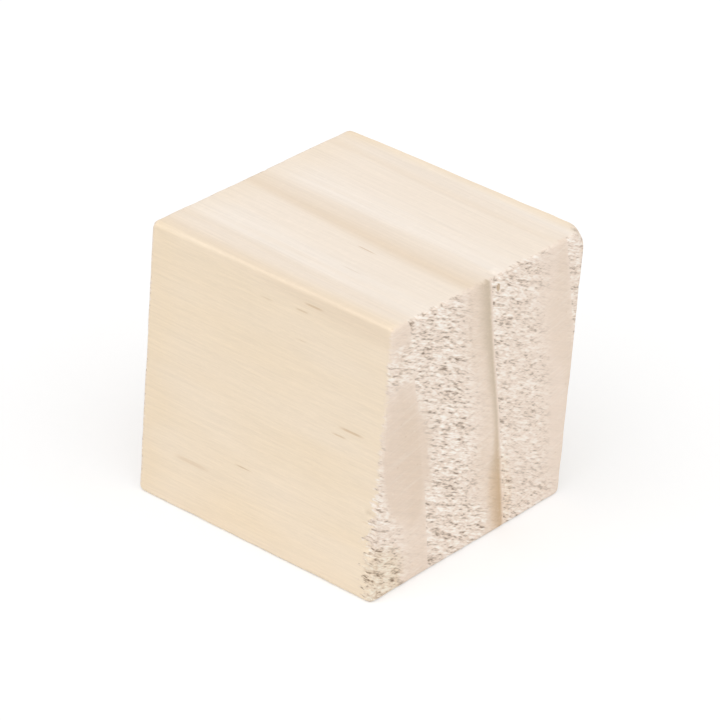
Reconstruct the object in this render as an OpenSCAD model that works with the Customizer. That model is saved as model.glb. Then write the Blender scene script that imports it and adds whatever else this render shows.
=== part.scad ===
// Wooden cube: a bare pine block, sawn from a planed square stick and tumbled so that
// its edges and corners are eased. The grain runs along X, so the two X faces are the
// sawn end-grain faces and the four others are long-grain faces.
// Millimetres, +Z up, origin at the centre of the face it rests on.

/* [Block] */
// Length along the grain, from one sawn end to the other
length = 25; // [10:0.5:60]
// Width across the grain, along Y
width = 25; // [10:0.5:60]
// Height across the grain, from the resting face to the top face
height = 25; // [10:0.5:60]

/* [Eased edges] */
// Radius of the four long edges, which run with the grain
long_edge_r = 0.3; // [0.15:0.05:0.8]
// Radius of the eight edges round the two sawn ends
end_edge_r = 0.35; // [0.15:0.05:0.8]
// How far each corner is tumbled back from the sharp point
corner_ease = 0.3; // [0.2:0.05:1.2]

/* [Wear] */
// How far the one knocked corner is rubbed back from the sharp point
knocked_corner_ease = 0.75; // [0.45:0.05:2]
// Radius of the rubbed patch on the knocked corner
knocked_patch_r = 40; // [30:1:120]

/* [Hidden] */
// Colour of bare pine
pine = [0.93, 0.86, 0.77];
// From the block's centre to a sharp corner
corner = [length, width, height] / 2;
corner_reach = norm(corner);
// Facets of the edge rounds and of the large spheres that ease the corners
edge_fn = 48;
ease_fn = 160;

// A rectangle of size [x, y] about the origin, with corners of radius r
module eased_rectangle(size, r) {
    square([size.x - 2 * r, size.y], center = true);
    square([size.x, size.y - 2 * r], center = true);
    for (sx = [-1, 1], sy = [-1, 1])
        translate([sx * (size.x / 2 - r), sy * (size.y / 2 - r)])
            circle(r = r, $fn = edge_fn);
}

// The planed stick seen end on, which rounds the four long edges
module stick() {
    rotate([90, 0, 90])
        linear_extrude(height = length, center = true)
            eased_rectangle([width, height], long_edge_r);
}

// The block seen from above, which rounds the upright edges of both sawn ends
module plan() {
    linear_extrude(height = height, center = true)
        eased_rectangle([length, width], end_edge_r);
}

// The block seen from the side, which rounds the level edges of both sawn ends
module side() {
    rotate([90, 0, 0])
        linear_extrude(height = width, center = true)
            eased_rectangle([length, height], end_edge_r);
}

// A sphere about the block's centre that trims all eight corners alike
module tumbling() {
    sphere(r = corner_reach - corner_ease, $fn = ease_fn);
}

// A large sphere that reaches only the corner towards +X +Y +Z, and rubs it back further
module knock() {
    back = knocked_patch_r - (corner_reach - knocked_corner_ease);
    translate(-back * corner / corner_reach)
        sphere(r = knocked_patch_r, $fn = ease_fn);
}

module wooden_cube() {
    color(pine)
        translate([0, 0, height / 2])
            intersection() {
                stick();
                plan();
                side();
                tumbling();
                knock();
            }
}

wooden_cube();
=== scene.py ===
import logging
import math
from dataclasses import dataclass, replace
from enum import Enum
from typing import Self

import bpy
from mathutils import Matrix, Vector


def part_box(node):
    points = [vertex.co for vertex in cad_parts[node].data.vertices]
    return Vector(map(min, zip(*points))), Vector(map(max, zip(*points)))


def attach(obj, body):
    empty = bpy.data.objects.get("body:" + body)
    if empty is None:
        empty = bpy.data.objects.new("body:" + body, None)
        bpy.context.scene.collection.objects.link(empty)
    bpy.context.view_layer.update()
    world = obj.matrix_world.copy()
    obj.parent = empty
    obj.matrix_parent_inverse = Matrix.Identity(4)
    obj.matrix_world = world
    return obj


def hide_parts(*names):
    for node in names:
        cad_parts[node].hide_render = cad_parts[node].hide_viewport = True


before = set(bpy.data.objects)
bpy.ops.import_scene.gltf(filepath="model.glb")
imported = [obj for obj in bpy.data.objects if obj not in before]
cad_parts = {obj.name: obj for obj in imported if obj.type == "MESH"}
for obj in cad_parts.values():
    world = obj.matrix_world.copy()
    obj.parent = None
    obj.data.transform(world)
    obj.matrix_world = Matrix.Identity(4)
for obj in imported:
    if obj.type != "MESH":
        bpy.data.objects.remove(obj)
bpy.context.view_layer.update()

LOG = logging.getLogger("wooden_cube")
MM = 0.001
IMAGE_SIDE = 720
NODE = "wooden_cube"
# The middle of what runs from 0 to 1, such as noise, or the age within a year
MIDDLE = 0.5

Colour = tuple[float, float, float]
Place = tuple[float, float, float]


def srgb(red: int, green: int, blue: int) -> Colour:
    """Turn a colour of 0 to 255 as seen on a screen into the linear one that shaders take.

    Args:
        red: Red, 0 to 255.
        green: Green, 0 to 255.
        blue: Blue, 0 to 255.

    Returns:
        The three linear channels, 0 to 1.
    """

    def linear(channel: int) -> float:
        """Undo the screen's curve for one channel."""
        share = channel / 255
        return share / 12.92 if share <= 0.04045 else ((share + 0.055) / 1.055) ** 2.4

    return linear(red), linear(green), linear(blue)


class Wire:
    """One output socket. Python arithmetic on it adds Math nodes to its tree."""

    def __init__(self, bench: "Bench", socket: bpy.types.NodeSocket) -> None:
        """Keep the socket with the bench that its tree is built on."""
        self.bench = bench
        self.socket = socket

    def __add__(self, other: "Term") -> "Wire":
        """Give self + other."""
        return self.bench.math("ADD", self, other)

    def __radd__(self, other: "Term") -> "Wire":
        """Give other + self."""
        return self.bench.math("ADD", other, self)

    def __sub__(self, other: "Term") -> "Wire":
        """Give self - other."""
        return self.bench.math("SUBTRACT", self, other)

    def __rsub__(self, other: "Term") -> "Wire":
        """Give other - self."""
        return self.bench.math("SUBTRACT", other, self)

    def __mul__(self, other: "Term") -> "Wire":
        """Give self * other."""
        return self.bench.math("MULTIPLY", self, other)

    def __rmul__(self, other: "Term") -> "Wire":
        """Give other * self."""
        return self.bench.math("MULTIPLY", other, self)

    def __truediv__(self, other: "Term") -> "Wire":
        """Give self / other."""
        return self.bench.math("DIVIDE", self, other)

    def __rtruediv__(self, other: "Term") -> "Wire":
        """Give other / self."""
        return self.bench.math("DIVIDE", other, self)

    def __pow__(self, other: "Term") -> "Wire":
        """Give self ** other."""
        return self.bench.math("POWER", self, other)

    def __abs__(self) -> "Wire":
        """Give abs(self)."""
        return self.bench.math("ABSOLUTE", self)


Term = Wire | float | tuple[float, ...] | bpy.types.NodeSocket


class Bench:
    """Adds nodes to one tree, in the same way for a shader and for geometry."""

    def __init__(self, tree: bpy.types.NodeTree) -> None:
        """Keep the tree that the nodes go into."""
        self.tree = tree

    def node(
        self,
        kind: str,
        settings: dict[str, object] | None = None,
        inputs: dict[str | int, Term] | None = None,
    ) -> bpy.types.Node:
        """Add one node.

        Args:
            kind: The node's type, such as "ShaderNodeMath".
            settings: The node's own properties, which are set first.
            inputs: A value or a wire for each input socket, by name or by number.

        Returns:
            The new node.
        """
        node = self.tree.nodes.new(kind)
        for name, value in (settings or {}).items():
            setattr(node, name, value)
        for key, term in (inputs or {}).items():
            socket = node.inputs[key]
            if isinstance(term, Wire):
                self.tree.links.new(term.socket, socket)
            elif isinstance(term, bpy.types.NodeSocket):
                self.tree.links.new(term, socket)
            else:
                socket.default_value = term
        return node

    def wire(
        self,
        kind: str,
        settings: dict[str, object] | None = None,
        inputs: dict[str | int, Term] | None = None,
        output: str | int = 0,
    ) -> Wire:
        """Add one node, as node() does, and give one of its outputs."""
        return Wire(self, self.node(kind, settings, inputs).outputs[output])

    def math(self, operation: str, *terms: Term) -> Wire:
        """Add a Math node on one to three values."""
        return self.wire("ShaderNodeMath", {"operation": operation}, dict(enumerate(terms)))

    def vector(self, operation: str, *terms: Term) -> Wire:
        """Add a Vector Math node on vectors, and give its vector."""
        return self.wire("ShaderNodeVectorMath", {"operation": operation}, dict(enumerate(terms)))

    def scaled(self, vector: Term, by: Term) -> Wire:
        """Give a vector or a colour times a number."""
        return self.wire("ShaderNodeVectorMath", {"operation": "SCALE"}, {0: vector, "Scale": by})

    def measure(self, operation: str, *terms: Term) -> Wire:
        """Add a Vector Math node that gives a number, such as a length or a dot product."""
        return self.wire(
            "ShaderNodeVectorMath", {"operation": operation}, dict(enumerate(terms)), "Value"
        )

    def parts(self, vector: Term) -> tuple[Wire, Wire, Wire]:
        """Split a vector into its x, y and z."""
        node = self.node("ShaderNodeSeparateXYZ", inputs={0: vector})
        return Wire(self, node.outputs[0]), Wire(self, node.outputs[1]), Wire(self, node.outputs[2])

    def join(self, x: Term, y: Term, z: Term) -> Wire:
        """Make a vector of x, y and z."""
        return self.wire("ShaderNodeCombineXYZ", inputs={0: x, 1: y, 2: z})

    def ramp(self, value: Term, start: Term, end: Term, low: Term = 0.0, high: Term = 1.0) -> Wire:
        """Go smoothly from low, where value is at start, to high, where it is at end."""
        return self.wire(
            "ShaderNodeMapRange",
            {"interpolation_type": "SMOOTHSTEP"},
            {"Value": value, "From Min": start, "From Max": end, "To Min": low, "To Max": high},
        )

    def blend(self, share: Term, first: Term, second: Term) -> Wire:
        """Mix two colours, from the first at share 0 to the second at share 1."""
        return self.wire(
            "ShaderNodeMix",
            {"data_type": "RGBA", "blend_type": "MIX", "clamp_factor": True},
            {0: share, 6: as_colour(first), 7: as_colour(second)},
            2,
        )

    def noise(
        self,
        vector: Term,
        detail: float = 2.0,
        roughness: float = 0.5,
        warp: float = 0.0,
        seed: Term = 0.0,
    ) -> Wire:
        """Give fractal noise of about 0.2 to 0.8 whose features are about one unit of vector."""
        return self.wire(
            "ShaderNodeTexNoise",
            {"noise_dimensions": "4D"},
            {
                "Vector": vector,
                "W": seed,
                "Scale": 1.0,
                "Detail": detail,
                "Roughness": roughness,
                "Distortion": warp,
            },
            "Fac",
        )


def as_colour(term: Term) -> Term:
    """Give a plain colour its alpha, and leave a wire as it is."""
    return (*term, 1.0) if isinstance(term, tuple) else term


def cleared(owner: bpy.types.Material | bpy.types.World) -> Bench:
    """Empty the tree of a material or a world, to build it anew.

    Args:
        owner: The new material or world.

    Returns:
        The bench of its tree.
    """
    owner.use_nodes = True
    owner.node_tree.nodes.clear()
    return Bench(owner.node_tree)


def seen_directly(bench: Bench) -> Wire:
    """Tell what the camera, a reflection or glass sees from what only lights.

    Args:
        bench: The bench of the tree to build in.

    Returns:
        1 for what is seen, and 0 for the rest.
    """
    path = bench.node("ShaderNodeLightPath")
    rays = ("Is Camera Ray", "Is Glossy Ray", "Is Transmission Ray")
    camera, glossy, through = (Wire(bench, path.outputs[name]) for name in rays)
    return bench.math("MINIMUM", camera + glossy + through, 1.0)


@dataclass(frozen=True)
class Fade:
    """A smooth change from low, where a value is at start, to high, where it is at end."""

    start: float
    end: float
    low: float = 0.0
    high: float = 1.0

    def of(self, value: Wire) -> Wire:
        """Give the change at a value."""
        return value.bench.ramp(value, self.start, self.end, self.low, self.high)


@dataclass(frozen=True)
class Fibres:
    """Where points lie along the fibres, out from the pith and around it, in millimetres."""

    along: Wire
    across: Wire
    around: Wire

    def stretched(self, bench: Bench, along: float, across: float, around: float) -> Wire:
        """Give the place with each direction scaled, as a place to read a pattern at."""
        return bench.join(self.along * along, self.across * across, self.around * around)

    def turned(self, degrees: float) -> Self:
        """Turn the directions out from the pith and around it, about the fibres.

        Args:
            degrees: How far they turn.

        Returns:
            The same places, seen from the turned directions.
        """
        cosine, sine = math.cos(math.radians(degrees)), math.sin(math.radians(degrees))
        across = self.across * cosine + self.around * sine
        around = self.around * cosine - self.across * sine
        return replace(self, across=across, around=around)


@dataclass(frozen=True)
class Grain(Fibres):
    """Where points lie in the tree that the block was sawn from, with its yearly rings.

    Age runs from 0 in spring to 1 in autumn, and ring is the number of the year.
    """

    age: Wire
    ring: Wire


@dataclass(frozen=True)
class Figure:
    """A pattern of noise in the wood, by how many features it has to a millimetre each way.

    Shade is how far it lightens and darkens the wood, and height is how high it stands, in
    millimetres.
    """

    along: float
    across: float
    around: float
    detail: float = 2.0
    roughness: float = 0.5
    warp: float = 0.0
    seed: float = 0.0
    shade: float = 0.0
    height: float = 0.0

    def read(self, bench: Bench, fibres: Fibres, shift: Term = 0.0) -> Wire:
        """Give the pattern at places among the fibres, with its seed shifted."""
        place = fibres.stretched(bench, self.along, self.across, self.around)
        return bench.noise(place, self.detail, self.roughness, self.warp, self.seed + shift)


@dataclass(frozen=True)
class Drift:
    """A measure that drifts slowly within a year's ring, and differs from ring to ring."""

    apart: float
    around: float
    seed: float
    along: float = 0.015
    spread: Fade = Fade(0.3, 0.7)

    def read(self, bench: Bench, grain: Grain) -> Wire:
        """Give the measure at the places of the grain, from 0 to 1."""
        place = (grain.along * self.along, grain.ring * self.apart, grain.around * self.around)
        return self.spread.of(
            bench.noise(bench.join(*place), detail=1.0, roughness=0.4, seed=self.seed)
        )


@dataclass(frozen=True)
class Timber:
    """How the growth rings run through the block, in millimetres from the block's centre.

    The fibres run nearly along X. The bark lies towards +Y, so the side faces are flat-sawn
    and the top and bottom are quarter-sawn, where rings show as straight bands.
    """

    ring_width: float = 10.0
    ring_edge: float = 3.2
    pith_distance: float = 150.0
    drift: float = -0.04
    lean: float = 0.2
    sway: float = 1.8
    tremor: float = 0.2
    slow_sway: Figure = Figure(0.03, 0.05, 0.08, 0.0, seed=3.7)
    quick_sway: Figure = Figure(0.15, 0.9, 1.1, 1.0, seed=7.1)
    late_breadth: Drift = Drift(7.3, 0.1, 179.45)
    late_start: float = 0.9
    late_widening: float = 0.42
    late_full: float = 0.53
    late_lag: float = 0.45
    line_breadth: Drift = Drift(5.1, 0.13, 1048.58)
    line_start: float = 0.89
    line_widening: float = 0.13
    line_end: float = 0.985
    line_drawing_in: float = 0.02
    year_end: Fade = Fade(0.955, 0.998, 1.0, 0.0)
    vigour_seed: float = 102.5
    least_dense: float = 0.45
    line_vigour: Fade = Fade(0.45, 0.95)

    @property
    def outward(self) -> Vector:
        """Give the direction from the pith to the bark at the block's centre."""
        return Vector((-self.drift, 1.0, self.lean)).normalized()

    @property
    def fibre(self) -> Vector:
        """Give the direction of the fibres."""
        return Vector((1.0, self.drift, 0.0)).normalized()

    def place(self, point: Vector) -> Vector:
        """Give a point's place along the fibres, out from the pith and around it."""
        tangent = self.fibre.cross(self.outward)
        return Vector((self.fibre.dot(point), self.outward.dot(point), tangent.dot(point)))

    def grain(self, bench: Bench, spot: Wire) -> Grain:
        """Work out where points lie among the fibres and rings.

        Args:
            bench: The bench of the tree to build in, a shader's or geometry's.
            spot: The points, in millimetres from the block's centre.

        Returns:
            The places, with the age and the number of the year.
        """
        tangent = self.fibre.cross(self.outward)
        along = bench.measure("DOT_PRODUCT", spot, tuple(self.fibre))
        out = bench.measure("DOT_PRODUCT", spot, tuple(self.outward))
        around = bench.measure("DOT_PRODUCT", spot, tuple(tangent))
        radius = ((out + self.pith_distance) ** 2.0 + around**2.0) ** 0.5
        fibres = Fibres(along, out, around)
        slow = self.slow_sway.read(bench, fibres) - MIDDLE
        quick = self.quick_sway.read(bench, fibres) - MIDDLE
        across = radius - self.pith_distance + (slow * self.sway + quick * self.tremor)
        years = (across - self.ring_edge) / self.ring_width
        ring = bench.math("FLOOR", years)
        return Grain(along, across, around, years - ring, ring)

    def latewood(self, bench: Bench, grain: Grain) -> tuple[Wire, Wire]:
        """Give how dense the wood is, and the thin dark line that closes each year.

        Args:
            bench: The bench of the tree to build in.
            grain: Where the points lie.

        Returns:
            The density and the line, each from 0 to 1.
        """
        wide = self.late_breadth.read(bench, grain)
        # Narrow late wood darkens at once, and wide late wood little by little
        start = self.late_start - self.late_widening * wide
        rise = bench.ramp(grain.age, start, start * self.late_lag + self.late_full)
        close = self.year_end.of(grain.age)
        named = {"W": grain.ring + self.vigour_seed}
        vigour = bench.wire("ShaderNodeTexWhiteNoise", {"noise_dimensions": "1D"}, named, "Value")
        broad = self.line_breadth.read(bench, grain)
        start = self.line_start - self.line_widening * broad
        line = bench.ramp(grain.age, start, self.line_end - self.line_drawing_in * broad)
        strength = self.least_dense + (1.0 - self.least_dense) * vigour
        return rise * close * strength, line * close * self.line_vigour.of(vigour)


@dataclass(frozen=True)
class BlockForm:
    """The sizes of the block and its edges in metres, which its mesh and its finish share."""

    centre: Vector
    half: Vector
    long_edge_r: float = 0.3 * MM
    end_edge_r: float = 0.35 * MM
    corner_ease: float = 0.3 * MM
    knocked_ease: float = 0.75 * MM
    knocked_patch_r: float = 40 * MM
    bruise_reach: float = 0.5 * MM
    bruise_full: float = 0.05 * MM

    def room(self, bench: Bench, spot: Wire) -> tuple[Wire, Wire, Wire]:
        """Give how far points lie inside the faces across X, Y and Z, in millimetres."""
        inside = bench.vector("SUBTRACT", tuple(self.half / MM), bench.vector("ABSOLUTE", spot))
        return bench.parts(inside)

    def edges(
        self, bench: Bench, room: tuple[Wire, Wire, Wire], reach: float
    ) -> tuple[Wire, Wire]:
        """Give how near points are to the long edges and to the end edges, 1 being on them."""
        near_x, near_y, near_z = (bench.ramp(gap, 0.0, reach, 1.0, 0.0) for gap in room)
        return near_y * near_z, near_x * bench.math("MAXIMUM", near_y, near_z)

    def bruise(self, bench: Bench, spot: Wire) -> Wire:
        """Give how near points are to the knocked corner, from 0 away from it to 1 on it.

        Args:
            bench: The bench of the tree to build in.
            spot: The points, in millimetres from the block's centre.

        Returns:
            The nearness.
        """
        tip = self.half.length - self.knocked_ease
        towards = bench.measure("DOT_PRODUCT", spot, tuple(self.half.normalized()))
        return bench.ramp(towards, (tip - self.bruise_reach) / MM, (tip - self.bruise_full) / MM)


@dataclass(frozen=True)
class Wood:
    """What the wood is like at a point, which both kinds of surface show in their own way."""

    timber: Timber
    grain: Grain
    dense: Wire
    line: Wire
    rays: Wire
    canals: Wire
    room: tuple[Wire, Wire, Wire]


@dataclass(frozen=True)
class Mark:
    """A mark of this one block, by its place in millimetres from the block's centre."""

    at: Place

    def apart(self, timber: Timber, grain: Grain) -> tuple[Wire, Wire, Wire]:
        """Give how far points lie from it along the fibres, across the rings and round them."""
        along, across, around = timber.place(Vector(self.at))
        return grain.along - along, grain.across - across, grain.around - around


@dataclass(frozen=True)
class Streak(Mark):
    """A short mark that lies along the fibres, its sizes in millimetres."""

    length: float
    width: float
    strength: float
    ends: Fade = Fade(0.3, 1.0, 1.0, 0.0)
    sides: Fade = Fade(0.2, 1.0, 1.0, 0.0)
    depth: Fade = Fade(1.0, 1.6, 1.0, 0.0)

    def shown(self, wood: Wood) -> Wire:
        """Work out how strongly the streak shows.

        Args:
            wood: What the wood is like.

        Returns:
            The streak, from 0 to its strength.
        """
        along, across, around = self.apart(wood.timber, wood.grain)
        run = self.ends.of(abs(along) / (self.length / 2))
        side = self.sides.of(abs(around) / self.width)
        return run * side * self.depth.of(abs(across)) * self.strength


@dataclass(frozen=True)
class Patch(Mark):
    """A place on a sawn end that the saw left smoother, rougher or tinted, in millimetres.

    Radial and tangential are its half sizes across the rings and along them. A torn below 0
    smooths the wood, and one above 0 roughens it.
    """

    radial: float
    tangential: float
    torn: float
    tint: Colour = (1.0, 1.0, 1.0)
    fineness: float = 2.0
    raggedness: float = 1.6
    rim: Fade = Fade(0.45, 1.3, 1.0, 0.0)
    depth: Fade = Fade(1.0, 2.0, 1.0, 0.0)

    def shown(self, bench: Bench, wood: Wood) -> Wire:
        """Give how much of the patch covers each point, with a ragged rim.

        Args:
            bench: The bench of the material.
            wood: What the wood is like.

        Returns:
            The cover, from 0 to 1.
        """
        along, across, around = self.apart(wood.timber, wood.grain)
        out, side = across / self.radial, around / self.tangential
        level = wood.timber.place(Vector(self.at)).x
        place = bench.join(out * self.fineness, side * self.fineness, level)
        ragged = bench.noise(place, detail=3.0, roughness=0.6) - MIDDLE
        cover = self.rim.of(out**2.0 + side**2.0 + ragged * self.raggedness)
        return cover * self.depth.of(abs(along))


@dataclass(frozen=True)
class Canals:
    """The resin canals, sparse fine dashes that lie along the fibres, in millimetres.

    There is room for one in each cell, length long and gap wide, and fewer than half have one.
    """

    length: float = 4.5
    gap: float = 1.6
    core: float = 0.03
    least_radius: float = 0.06
    solid_run: float = 0.3
    least_run: float = 0.8
    filled: Fade = Fade(0.55, 0.6)

    def read(self, bench: Bench, grain: Grain) -> Wire:
        """Make the canals.

        Args:
            bench: The bench of the material.
            grain: Where the points lie.

        Returns:
            The canals, from 0 to 1.
        """
        cells = grain.stretched(bench, 1 / self.length, 1 / self.gap, 1 / self.gap)
        node = bench.node(
            "ShaderNodeTexVoronoi",
            {"voronoi_dimensions": "3D", "feature": "F1"},
            {"Vector": cells, "Scale": 1.0, "Randomness": 1.0},
        )
        apart = bench.vector("SUBTRACT", cells, node.outputs["Position"])
        run, out, side = bench.parts(apart)
        reach = ((out * self.gap) ** 2.0 + (side * self.gap) ** 2.0) ** 0.5
        chance, size, _ = bench.parts(node.outputs["Color"])
        rim = self.least_radius + self.least_radius * size
        thin = bench.ramp(reach, self.core, rim, 1.0, 0.0)
        stop = bench.ramp(abs(run * self.length), self.solid_run, self.least_run + size, 1.0, 0.0)
        return thin * stop * self.filled.of(chance)


@dataclass(frozen=True)
class PlanedFace:
    """How pine looks on a planed face, where fibres are seen from the side."""

    spring: Colour = srgb(246, 235, 223)
    summer: Colour = srgb(243, 229, 213)
    autumn: Colour = srgb(231, 211, 187)
    closing: Colour = srgb(214, 188, 155)
    flat_sawn_warm_light: Colour = srgb(243, 224, 197)
    canal: Colour = srgb(196, 160, 118)
    cloud: Figure = Figure(0.08, 0.3, 0.3, 1.0, seed=6.1, shade=0.9)
    band: Figure = Figure(0.05, 0.9, 0.9, 3.0, seed=1.3)
    streak: Figure = Figure(0.14, 4.5, 4.5, 4.0, 0.66, seed=5.2, shade=0.2, height=0.012)
    hair: Figure = Figure(0.7, 16.0, 16.0, 2.0, 0.6, seed=2.8, shade=0.09, height=0.008)
    side: Fade = Fade(0.1, 2.0, 0.8, 0.0)
    clear_share: float = 0.55
    far_end: Fade = Fade(-8.0, -12.5, 0.0, 0.3)
    growth: Fade = Fade(0.05, 0.7)
    year_end: Fade = Fade(0.88, 1.0, 1.0, 0.0)
    banding: Fade = Fade(0.35, 0.7, 0.0, 0.6)
    late_fading: Fade = Fade(0.73, 0.98, 0.95, 0.0)
    seam: Fade = Fade(0.37, 0.5, 0.0, 0.33)
    line_share: float = 0.12
    canal_share: float = 0.5
    ray_shade: float = 0.02
    ray_height: float = 0.003
    mark_depth: float = 0.03
    streaks: tuple[Streak, ...] = (
        Streak((9.2, -12.5, 2.0), 3.0, 0.16, 0.5),
        Streak((8.0, -12.5, 1.2), 1.8, 0.12, 0.4),
        Streak((-6.9, -12.5, -7.6), 4.6, 0.3, 0.22),
        Streak((4.6, -12.5, 11.4), 2.4, 0.14, 0.45),
        Streak((3.4, -12.5, 10.6), 1.6, 0.12, 0.35),
    )

    def show(self, bench: Bench, wood: Wood) -> tuple[Wire, Wire]:
        """Make the face.

        Args:
            bench: The bench of the material.
            wood: What the wood is like.

        Returns:
            The colour, and the height of the surface in millimetres.
        """
        grain, age = wood.grain, wood.grain.age
        # The flat-sawn sides are painted yellower, partly their own colour and partly warm light;
        # so is all the wood towards the far end
        cloudy = self.clear_share + self.cloud.shade * self.cloud.read(bench, grain)
        flat = self.side.of(wood.room[1]) * cloudy + self.far_end.of(grain.along)
        band = self.banding.of(self.band.read(bench, grain))
        grown = self.growth.of(age) * self.year_end.of(age)
        tone = bench.blend(grown, self.spring, self.summer)
        tone = bench.blend(band, tone, self.summer)
        tone = bench.blend(flat, tone, self.flat_sawn_warm_light)
        # The late wood fades before the year ends, and its last tone runs on into the next
        late = wood.dense * self.late_fading.of(age) + self.seam.of(abs(age - MIDDLE))
        tone = bench.blend(late, tone, self.autumn)
        tone = bench.blend(wood.line * self.line_share, tone, self.closing)
        streak = self.streak.read(bench, grain)
        hair = self.hair.read(bench, grain)
        shade = 1.0 + (streak - MIDDLE) * self.streak.shade + (hair - MIDDLE) * self.hair.shade
        shade = shade + wood.rays * self.ray_shade
        dark = bench.math("MAXIMUM", wood.canals * self.canal_share, self.marks(bench, wood))
        tone = bench.blend(dark, bench.scaled(tone, shade), self.canal)
        height = streak * self.streak.height + hair * self.hair.height
        height = height - dark * self.mark_depth + wood.rays * self.ray_height
        return tone, height

    def marks(self, bench: Bench, wood: Wood) -> Wire:
        """Make the streaks that this block shows, each fading towards its ends.

        Args:
            bench: The bench of the material.
            wood: What the wood is like.

        Returns:
            The streaks, from 0 to 1.
        """
        shown: Term = 0.0
        for streak in self.streaks:
            shown = bench.math("MAXIMUM", shown, streak.shown(wood))
        return shown


@dataclass(frozen=True)
class SawnEnd:
    """How pine looks on a sawn end, where fibres are seen end on, torn and speckled."""

    spring: Colour = srgb(240, 222, 206)
    autumn: Colour = srgb(236, 217, 199)
    closing: Colour = srgb(209, 191, 169)
    stain: Colour = srgb(211, 185, 156)
    canal: Colour = srgb(196, 160, 118)
    # Pale torn fibre with a painted highlight, and painted shade in the pits between the fibres
    tuft_highlight: Colour = srgb(255, 248, 239)
    pit_shade: Colour = srgb(142, 122, 104)
    slant: float = -37.0
    shred: Figure = Figure(1.6, 1.15, 5.2, 2.0, 0.45, 0.2, seed=4.4)
    fuzz: Figure = Figure(4.0, 1.8, 12.0, 1.0, 0.5, 0.2, seed=8.3, shade=0.1, height=0.004)
    row: Figure = Figure(3.0, 1.1, 13.0, seed=3.1, shade=0.1, height=0.005)
    scratch: Figure = Figure(0.2, 0.12, 4.0, 3.0, 0.6, shade=0.12, height=0.01)
    zone: Figure = Figure(0.2, 0.25, 0.14, 1.0, seed=6.6)
    stained: Drift = Drift(3.3, 0.1, 291.56, spread=Fade(0.35, 0.7))
    shred_grit: float = 1.1
    fuzz_grit: float = 0.6
    line_grit: float = 0.4
    tuft_highlights: Fade = Fade(-0.05, 0.26)
    pit_shades: Fade = Fade(0.0, -0.36)
    tuft_height: float = 0.0022
    ray_share: float = 0.2
    canal_share: float = 0.35
    zone_torn: Fade = Fade(0.3, 0.55, 0.75, 1.0)
    age_torn: Fade = Fade(0.45, 0.85, 1.0, 0.1)
    end_torn: Fade = Fade(-12.0, 12.0, 0.68, 1.0)
    patches: tuple[Patch, ...] = (
        Patch((12.5, -9.4, -0.4), 3.3, 6.6, -1.0, (0.935, 0.915, 0.885)),
        Patch((12.5, -11.4, -11.2), 3.0, 3.6, 0.4, (0.93, 0.91, 0.835)),
        Patch((12.5, -9.9, 8.8), 2.8, 2.0, 0.65),
        Patch((12.5, 7.8, -2.0), 4.8, 13.0, -0.3),
        Patch((12.5, 0.3, -11.0), 2.4, 2.8, 0.7),
        Patch((12.5, 4.2, -9.0), 1.6, 4.6, 0.2, (0.985, 0.955, 0.91)),
        # Painted shade of a small pit just below the top edge
        Patch((12.5, 1.3, 11.4), 0.24, 0.4, 0.0, (0.66, 0.57, 0.46)),
    )

    def show(self, bench: Bench, wood: Wood) -> tuple[Wire, Wire]:
        """Make the end.

        Args:
            bench: The bench of the material.
            wood: What the wood is like.

        Returns:
            The colour, and the height of the surface in millimetres.
        """
        grain = wood.grain
        slanted = grain.turned(self.slant)
        shred = self.shred.read(bench, slanted)
        fuzz = self.fuzz.read(bench, slanted)
        rows = self.row.read(bench, grain)
        scratches = self.scratch.read(bench, slanted)
        torn, tint = self.torn(bench, wood)
        grit = (shred - MIDDLE) * self.shred_grit + (fuzz - MIDDLE) * self.fuzz_grit
        grit = grit + (rows + scratches - 2 * MIDDLE) * self.line_grit
        # Tufts are paler, partly their own colour and partly a painted highlight; pits get painted
        # shade
        tuft_highlight, pit_shade = self.tuft_highlights.of(grit) * torn, self.pit_shades.of(grit) * torn
        tone = bench.blend(wood.dense, self.spring, self.autumn)
        # The rays take the same pale colour as the tufts
        tone = bench.blend(wood.rays * self.ray_share, tone, self.tuft_highlight)
        tone = bench.blend(tuft_highlight, tone, self.tuft_highlight)
        tone = bench.blend(pit_shade, tone, self.pit_shade)
        closing = bench.blend(self.stained.read(bench, grain), self.closing, self.stain)
        tone = bench.blend(wood.line, tone, closing)
        tone = bench.blend(wood.canals * self.canal_share, tone, self.canal)
        shade = 1.0 + (fuzz - MIDDLE) * self.fuzz.shade
        shade = shade + (scratches - MIDDLE) * self.scratch.shade
        shade = shade + (rows - MIDDLE) * self.row.shade
        height = (tuft_highlight - pit_shade) * self.tuft_height + fuzz * self.fuzz.height
        height = height + scratches * self.scratch.height + rows * self.row.height
        return bench.vector("MULTIPLY", bench.scaled(tone, shade), tint), height

    def torn(self, bench: Bench, wood: Wood) -> tuple[Wire, Wire]:
        """Work out how torn the wood is, most of all in the soft wood of spring.

        Args:
            bench: The bench of the material.
            wood: What the wood is like.

        Returns:
            How torn the wood is, from 0 to 1, and the tint that the patches add.
        """
        zone = self.zone_torn.of(self.zone.read(bench, wood.grain))
        torn = zone * self.age_torn.of(wood.grain.age) * self.end_torn.of(wood.grain.along)
        tint: Term = (1.0, 1.0, 1.0)
        for patch in self.patches:
            shown = patch.shown(bench, wood)
            torn = torn + shown * patch.torn
            tint = bench.blend(shown, tint, patch.tint)
        return bench.math("MINIMUM", bench.math("MAXIMUM", torn, 0.0), 1.0), tint


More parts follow.
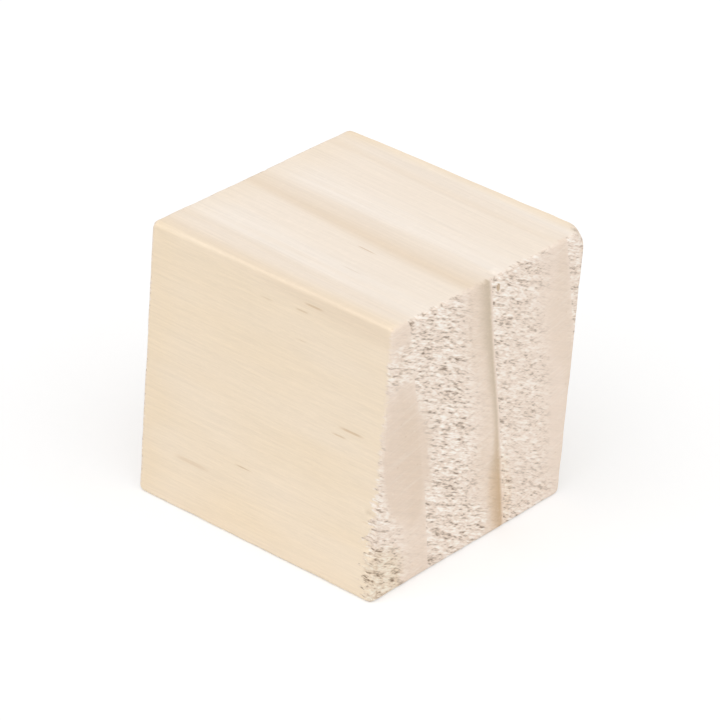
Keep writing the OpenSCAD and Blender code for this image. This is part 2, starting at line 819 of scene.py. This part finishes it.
@dataclass(frozen=True)
class FrayedEdge:
    """How far sawn fibres run over an end's edges, in millimetres.

    They run furthest by the loose corner, where the saw left the wood.
    """

    fibre: Figure = Figure(0.9, 3.4, 3.4, 2.0, 0.6, seed=2.2)
    depth: Fade = Fade(0.05, 0.42, 1.0, 0.0)
    fray: float = 0.9
    loose_corner: Place = (12.5, -12.5, -11.0)
    near: Fade = Fade(2.5, 9.5, 0.8, 0.0)
    far: Fade = Fade(9.5, 18.0, 0.3, 0.0)
    loose_reach: float = 0.7
    loose_fray: float = 3.6

    def end_share(self, bench: Bench, wood: Wood, spot: Wire) -> Wire:
        """Work out where sawn fibres show.

        Args:
            bench: The bench of the material.
            wood: What the wood is like.
            spot: The points, in millimetres from the block's centre.

        Returns:
            The share, from 0 on the planed faces to 1 on the sawn ends.
        """
        frayed = self.fibre.read(bench, wood.grain) - MIDDLE
        corner = bench.measure("DISTANCE", spot, self.loose_corner)
        loose = self.near.of(corner) + self.far.of(corner)
        reach = wood.room[0] - self.loose_reach * loose
        return self.depth.of(reach + frayed * (self.fray + self.loose_fray * loose))


@dataclass(frozen=True)
class BarePine:
    """Unfinished pine, sawn across at both X ends and planed on the four other faces."""

    timber: Timber = Timber()
    planed: PlanedFace = PlanedFace()
    sawn: SawnEnd = SawnEnd()
    edge: FrayedEdge = FrayedEdge()
    canals: Canals = Canals()
    ray: Figure = Figure(2.6, 0.3, 8.0, seed=9.1)
    rays: Fade = Fade(0.5, 0.7)
    edge_reach: float = 0.45
    # Painted highlight along the long edges, painted shade along the end edges, and a darker
    # knocked corner
    long_edge_highlight: float = 0.04
    end_edge_shade: float = 0.02
    bruise_shade: float = 0.06
    bruise_share: float = 0.6
    roughness: float = 0.66
    end_roughness: float = 0.16
    dense_polish: float = 0.1
    gloss: float = 0.3

    def material(self, form: BlockForm) -> bpy.types.Material:
        """Build the material.

        Args:
            form: The block's sizes.

        Returns:
            The material, which reads the block's Object coordinates.
        """
        material = bpy.data.materials.new("bare pine")
        bench = cleared(material)
        here = bench.wire("ShaderNodeTexCoord", output="Object")
        spot = bench.scaled(bench.vector("SUBTRACT", here, tuple(form.centre)), 1 / MM)
        wood = self.wood(bench, form, spot)
        bruise = form.bruise(bench, spot)
        end = self.edge.end_share(bench, wood, spot)
        end = bench.math("MAXIMUM", end, bruise * self.bruise_share)
        long_tone, long_height = self.planed.show(bench, wood)
        end_tone, end_height = self.sawn.show(bench, wood)
        long_edge, end_edge = form.edges(bench, wood.room, self.edge_reach)
        # Painted highlight on the rounded long edges and painted shade on the end edges; the
        # knocked corner is darker too
        shade = 1.0 + self.long_edge_highlight * long_edge - self.end_edge_shade * end_edge
        shade = shade - self.bruise_shade * bruise
        tone = bench.scaled(bench.blend(end, long_tone, end_tone), shade)
        height = long_height + end * (end_height - long_height)
        bump = bench.wire(
            "ShaderNodeBump", inputs={"Strength": 1.0, "Distance": MM, "Height": height}
        )
        rough = self.roughness + self.end_roughness * end - self.dense_polish * wood.dense
        shader = bench.wire(
            "ShaderNodeBsdfPrincipled",
            inputs={
                "Base Color": tone,
                "Roughness": rough,
                "Normal": bump,
                "Specular IOR Level": self.gloss,
            },
        )
        bench.node("ShaderNodeOutputMaterial", inputs={"Surface": shader})
        return material

    def wood(self, bench: Bench, form: BlockForm, spot: Wire) -> Wood:
        """Work out what the wood is like at each point.

        Args:
            bench: The bench of the material.
            form: The block's sizes.
            spot: The points, in millimetres from the block's centre.

        Returns:
            The wood.
        """
        grain = self.timber.grain(bench, spot)
        dense, line = self.timber.latewood(bench, grain)
        rays = self.rays.of(self.ray.read(bench, grain))
        canals = self.canals.read(bench, grain)
        return Wood(self.timber, grain, dense, line, rays, canals, form.room(bench, spot))


@dataclass(frozen=True)
class PalePaper:
    """The seamless pale sheet that the block stands on, white to the eye but for a shadow."""

    colour: Colour = (0.8, 0.8, 0.8)
    white_share: float = 0.1
    white: float = 3.2

    def material(self) -> bpy.types.Material:
        """Build the material, which keeps the block's shadow and lights it as pale paper.

        Returns:
            The material.
        """
        material = bpy.data.materials.new("pale paper")
        bench = cleared(material)
        paper = bench.wire("ShaderNodeBsdfDiffuse", inputs={"Color": as_colour(self.colour)})
        plain = bench.wire("ShaderNodeEmission", inputs={"Strength": self.white})
        share = seen_directly(bench) * self.white_share
        surface = bench.wire("ShaderNodeMixShader", inputs={0: share, 1: paper, 2: plain})
        bench.node("ShaderNodeOutputMaterial", inputs={"Surface": surface})
        return material


@dataclass(frozen=True)
class Nick(Mark):
    """A small place on an edge where the wood has broken away, in millimetres.

    Span is how many times as long it is around the tree as across it, stretch is how many
    times as long it is along the fibres, tear is how ragged its rim is, and flat is the share
    of its radius that is fully deep.
    """

    radius: float
    depth: float
    span: float
    tear: float
    stretch: float = 2.0
    flat: float = 0.2

    def hollow(self, bench: Bench, timber: Timber, grain: Grain, ragged: Wire) -> Wire:
        """Work out how deep the nick is at each point.

        Args:
            bench: The bench of the block's tree.
            timber: How the rings run through the block.
            grain: Where the points lie.
            ragged: A pattern about 0, which moves the rim in and out.

        Returns:
            The depth, in millimetres.
        """
        along, across, around = self.apart(timber, grain)
        offset = bench.join(along * (1 / self.stretch), across, around / self.span)
        reach = bench.measure("LENGTH", offset) + ragged * self.tear
        return bench.ramp(reach, self.flat * self.radius, self.radius, self.depth, 0.0)


@dataclass
class PineBlock:
    """The one solid block of the cube, with its eased edges, worn corners and fine relief.

    The blends of its corners are in metres, and what belongs to its relief in millimetres.
    """

    form: BlockForm
    finish: BarePine
    segments: int = 126
    crowding: float = 0.66
    seed: float = 11.0
    corner_blend: float = 0.3 * MM
    knock_blend: float = 0.6 * MM
    soft_depth: float = 0.005
    wear_reach: float = 0.7
    long_wear: float = 0.07
    end_wear: float = 0.06
    rubbed_scale: float = 0.35
    rubbed: Fade = Fade(0.4, 0.75)
    splinter: Figure = Figure(0.6, 2.2, 2.2, seed=4.0, height=0.12)
    split: Fade = Fade(0.6, 0.72)
    ridge: Figure = Figure(0.2, 0.12, 1.1, 1.0, height=0.024)
    ridged: Fade = Fade(0.0, 0.3, 1.0, 0.0)
    rough_scale: float = 1.9
    rough_seed: float = 8.0
    rough_depth: float = 0.003
    crushed_depth: float = 0.024
    ragged: Figure = Figure(0.8, 2.6, 2.6, 2.0, 0.6, seed=1.9)
    deepest_share: float = 0.75
    deepest_blend: float = 0.1
    nicks: tuple[Nick, ...] = (
        Nick((12.5, 1.2, 12.5), 0.55, 0.35, 1.0, 0.6),
        Nick((12.5, -12.5, -7.0), 0.75, 0.26, 8.0, 1.9),
    )

    def build(self) -> bpy.types.Object:
        """Make the block's mesh, dressed in its finish.

        Returns:
            The block, a plain mesh at the origin with its place in its mesh.
        """
        carrier = bpy.data.objects.new("block carrier", bpy.data.meshes.new("block carrier"))
        bpy.context.scene.collection.objects.link(carrier)
        modifier = carrier.modifiers.new("block", "NODES")
        modifier.node_group, names = self.tree()
        form = self.form
        values = {
            "Size": tuple(form.half * 2),
            "Centre": tuple(form.centre),
            "Edge radii": (form.end_edge_r, form.long_edge_r, form.long_edge_r),
            "Corner ease": form.corner_ease,
            "Knocked ease": form.knocked_ease,
            "Knocked patch radius": form.knocked_patch_r,
            "Segments": self.segments,
            "Seed": self.seed,
            "Finish": self.finish.material(form),
        }
        for name, value in values.items():
            modifier[names[name]] = value
        evaluated = carrier.evaluated_get(bpy.context.evaluated_depsgraph_get())
        mesh = bpy.data.meshes.new_from_object(evaluated)
        bpy.data.objects.remove(carrier)
        mesh.name = "pine_block"
        block = bpy.data.objects.new("pine_block", mesh)
        bpy.context.scene.collection.objects.link(block)
        return block

    def tree(self) -> tuple[bpy.types.NodeTree, dict[str, str]]:
        """Build the Geometry Nodes tree of the block.

        Returns:
            The tree, and the identifier of each of its inputs by name.
        """
        tree = bpy.data.node_groups.new("eased block", "GeometryNodeTree")
        kinds = {
            "Size": "NodeSocketVector",
            "Centre": "NodeSocketVector",
            "Edge radii": "NodeSocketVector",
            "Corner ease": "NodeSocketFloat",
            "Knocked ease": "NodeSocketFloat",
            "Knocked patch radius": "NodeSocketFloat",
            "Segments": "NodeSocketInt",
            "Seed": "NodeSocketFloat",
            "Finish": "NodeSocketMaterial",
        }
        names = {}
        for name, kind in kinds.items():
            socket = tree.interface.new_socket(name=name, in_out="INPUT", socket_type=kind)
            names[name] = socket.identifier
        tree.interface.new_socket(name="Block", in_out="OUTPUT", socket_type="NodeSocketGeometry")
        bench = Bench(tree)
        given = bench.node("NodeGroupInput").outputs
        count = Wire(bench, given["Segments"]) + 1.0
        counts = {f"Vertices {axis}": count for axis in "XYZ"}
        cube = bench.wire("GeometryNodeMeshCube", inputs={"Size": given["Size"], **counts})
        place, out = self.eased(bench, given)
        place = self.worn(bench, given, place)
        depth = self.relief(bench, given, place)
        place = bench.vector("SUBTRACT", place, bench.scaled(out, depth * MM))
        place = bench.vector("ADD", place, given["Centre"])
        shaped = bench.wire("GeometryNodeSetPosition", inputs={"Geometry": cube, "Position": place})
        smooth = bench.wire("GeometryNodeSetShadeSmooth", inputs={"Geometry": shaped})
        real = bench.wire("GeometryNodeRealizeInstances", inputs={"Geometry": smooth})
        dressed = bench.wire(
            "GeometryNodeSetMaterial", inputs={"Geometry": real, "Material": given["Finish"]}
        )
        bench.node("NodeGroupOutput", inputs={0: dressed})
        return tree, names

    def eased(self, bench: Bench, given: bpy.types.bpy_prop_collection) -> tuple[Wire, Wire]:
        """Crowd the cube's grid towards its edges, and round them.

        Args:
            bench: The bench of the block's tree.
            given: The tree's inputs.

        Returns:
            Each point's place from the block's centre, and the way out of the block there.
        """
        half = bench.scaled(given["Size"], 0.5)
        share = bench.vector("DIVIDE", bench.wire("GeometryNodeInputPosition"), half)
        swing = bench.vector("SINE", bench.scaled(share, math.pi))
        crowded = bench.vector("ADD", share, bench.scaled(swing, self.crowding / math.pi))
        grid = bench.vector("MULTIPLY", crowded, half)
        inner = bench.vector("SUBTRACT", half, given["Edge radii"])
        core = bench.vector("MINIMUM", grid, inner)
        core = bench.vector("MAXIMUM", core, bench.scaled(inner, -1.0))
        apart = bench.vector("DIVIDE", bench.vector("SUBTRACT", grid, core), given["Edge radii"])
        out = bench.vector("NORMALIZE", apart)
        place = bench.vector("ADD", core, bench.vector("MULTIPLY", out, given["Edge radii"]))
        return place, out

    def worn(self, bench: Bench, given: bpy.types.bpy_prop_collection, place: Wire) -> Wire:
        """Trim every corner to a sphere, and one corner further to a larger sphere.

        Args:
            bench: The bench of the block's tree.
            given: The tree's inputs.
            place: The points of the eased block.

        Returns:
            The points with the corners worn.
        """
        corner = bench.scaled(given["Size"], 0.5)
        reach = bench.measure("LENGTH", corner)
        limit = reach - Wire(bench, given["Corner ease"])
        apart = bench.measure("LENGTH", place)
        kept = bench.math("SMOOTH_MIN", apart, limit, self.corner_blend)
        place = bench.scaled(place, kept / apart)
        patch = Wire(bench, given["Knocked patch radius"])
        back = patch - (reach - Wire(bench, given["Knocked ease"]))
        pivot = bench.scaled(corner, -1.0 * (back / reach))
        arm = bench.vector("SUBTRACT", place, pivot)
        apart = bench.measure("LENGTH", arm)
        kept = bench.math("SMOOTH_MIN", apart, patch, self.knock_blend)
        return bench.vector("ADD", pivot, bench.scaled(arm, kept / apart))

    def relief(self, bench: Bench, given: bpy.types.bpy_prop_collection, place: Wire) -> Wire:
        """Work out how far the surface lies below the eased block, in millimetres.

        Args:
            bench: The bench of the block's tree.
            given: The tree's inputs.
            place: The points of the worn block.

        Returns:
            The depth, never below 0.
        """
        seed = Wire(bench, given["Seed"])
        spot = bench.scaled(place, 1 / MM)
        finish, form = self.finish, self.form
        grain = finish.timber.grain(bench, spot)
        dense, _ = finish.timber.latewood(bench, grain)
        room = form.room(bench, spot)
        long_edge, end_edge = form.edges(bench, room, self.wear_reach)

        soft = (1.0 - dense) * self.soft_depth
        rubbed = bench.noise(bench.scaled(spot, self.rubbed_scale), detail=1.0, seed=seed)
        wear = self.rubbed.of(rubbed) * (self.long_wear * long_edge + self.end_wear * end_edge)
        split = self.split.of(self.splinter.read(bench, grain, seed))
        ridges = self.ridge.read(bench, grain.turned(finish.sawn.slant), seed)
        place = bench.scaled(spot, self.rough_scale)
        rough = bench.noise(place, detail=3.0, roughness=0.6, seed=seed + self.rough_seed)
        sawn = (ridges * self.ridge.height + rough * self.rough_depth) * self.ridged.of(room[0])
        crushed = rough * form.bruise(bench, spot) * self.crushed_depth
        depth = soft + wear + split * end_edge * self.splinter.height + sawn + crushed
        depth = depth + self.broken(bench, grain)
        # Deeper than the edges' radii, the surface would fold into itself
        deepest = self.deepest_share * min(form.long_edge_r, form.end_edge_r) / MM
        return bench.math("SMOOTH_MIN", depth, deepest, self.deepest_blend)

    def broken(self, bench: Bench, grain: Grain) -> Wire:
        """Work out how deep the nicks are.

        Args:
            bench: The bench of the block's tree.
            grain: Where the points lie.

        Returns:
            The depth of the nicks, in millimetres.
        """
        ragged = self.ragged.read(bench, grain) - MIDDLE
        depth: Term = 0.0
        for nick in self.nicks:
            depth = depth + nick.hollow(bench, self.finish.timber, grain, ragged)
        return depth


class Lamp(Enum):
    """The two suns that stand in for large softboxes: azimuth, elevation, width and strength.

    All but the strength are in degrees.
    """

    KEY = (-5.0, 52.0, 70.0, 0.393)
    FILL = (95.0, 35.0, 90.0, 0.301)


@dataclass
class Studio:
    """The pale floor, the soft light and the camera, its angles in degrees.

    The camera stands off by so many of the block's sides, and shows a side that faces it as
    cube_pixels of IMAGE_SIDE.
    """

    centre: Vector
    side: float
    paper: PalePaper = PalePaper()
    floor_reach: float = 6.0
    azimuth: float = 37.2
    elevation: float = 28.9
    roll: float = 4.5
    stand_off: float = 14.0
    cube_pixels: float = 305.0
    ambient: float = 0.515
    film_width: float = 36.0
    nearest: float = 0.01

    def build(self) -> None:
        """Make the floor, the lamps, the world and the camera."""
        self.floor()
        for lamp in Lamp:
            self.lamp(lamp)
        self.world()
        self.camera()

    def floor(self) -> None:
        """Lay the pale floor, level with the face that the block rests on."""
        mesh = bpy.data.meshes.new("floor")
        reach = self.floor_reach
        corners = [(-reach, -reach, 0), (reach, -reach, 0), (reach, reach, 0), (-reach, reach, 0)]
        mesh.from_pydata(corners, [], [(0, 1, 2, 3)])
        mesh.materials.append(self.paper.material())
        floor = bpy.data.objects.new("floor", mesh)
        bpy.context.scene.collection.objects.link(floor)

    def aim(self, azimuth: float, elevation: float) -> Vector:
        """Give the direction from the block towards a place round it, in degrees."""
        turn, rise = math.radians(azimuth), math.radians(elevation)
        return Vector(
            (math.sin(turn) * math.cos(rise), -math.cos(turn) * math.cos(rise), math.sin(rise))
        )

    def lamp(self, lamp: Lamp) -> None:
        """Hang one broad sun, as wide as a softbox looks.

        Args:
            lamp: Which of the lamps to hang.
        """
        azimuth, elevation, width, strength = lamp.value
        data = bpy.data.lights.new(lamp.name.lower(), "SUN")
        data.energy = strength * math.pi
        data.angle = math.radians(width)
        sun = bpy.data.objects.new(lamp.name.lower(), data)
        sun.rotation_mode = "QUATERNION"
        sun.rotation_quaternion = self.aim(azimuth, elevation).to_track_quat("Z", "Y")
        bpy.context.scene.collection.objects.link(sun)

    def world(self) -> None:
        """Fill the room with even light, and show white behind the floor."""
        world = bpy.data.worlds.new("white room")
        bench = cleared(world)
        strength = self.ambient + seen_directly(bench) * (1.0 - self.ambient)
        white = (1.0, 1.0, 1.0, 1.0)
        light = bench.wire("ShaderNodeBackground", inputs={"Color": white, "Strength": strength})
        bench.node("ShaderNodeOutputWorld", inputs={"Surface": light})
        bpy.context.scene.world = world

    def camera(self) -> None:
        """Stand the camera off at the chosen angle, with the block filling the picture."""
        data = bpy.data.cameras.new("camera")
        distance = self.stand_off * self.side
        data.sensor_width = self.film_width
        data.lens = self.film_width * self.cube_pixels / IMAGE_SIDE * self.stand_off
        data.clip_start = self.nearest
        data.clip_end = 4 * self.floor_reach
        camera = bpy.data.objects.new("camera", data)
        back = self.aim(self.azimuth, self.elevation)
        turn = back.to_track_quat("Z", "Y").to_matrix()
        roll = Matrix.Rotation(math.radians(self.roll), 3, "Z")
        camera.matrix_world = Matrix.Translation(self.centre + back * distance) @ (
            turn @ roll
        ).to_4x4()
        bpy.context.scene.collection.objects.link(camera)
        bpy.context.scene.camera = camera


def main() -> None:
    """Build the block and the studio, and report each piece."""
    logging.basicConfig(level=logging.INFO, format="%(name)s: %(message)s")
    bpy.context.scene.view_settings.view_transform = "Standard"
    low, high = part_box(NODE)
    form = BlockForm((low + high) / 2, (high - low) / 2)
    block = PineBlock(form, BarePine()).build()
    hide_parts(NODE)
    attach(block, "root")
    LOG.info("%s: %d faces", block.name, len(block.data.polygons))
    Studio(form.centre, 2 * form.half.z).build()
    LOG.info("studio: floor, %d lamps, world and camera", len(Lamp))


if __name__ == "__main__":
    main()
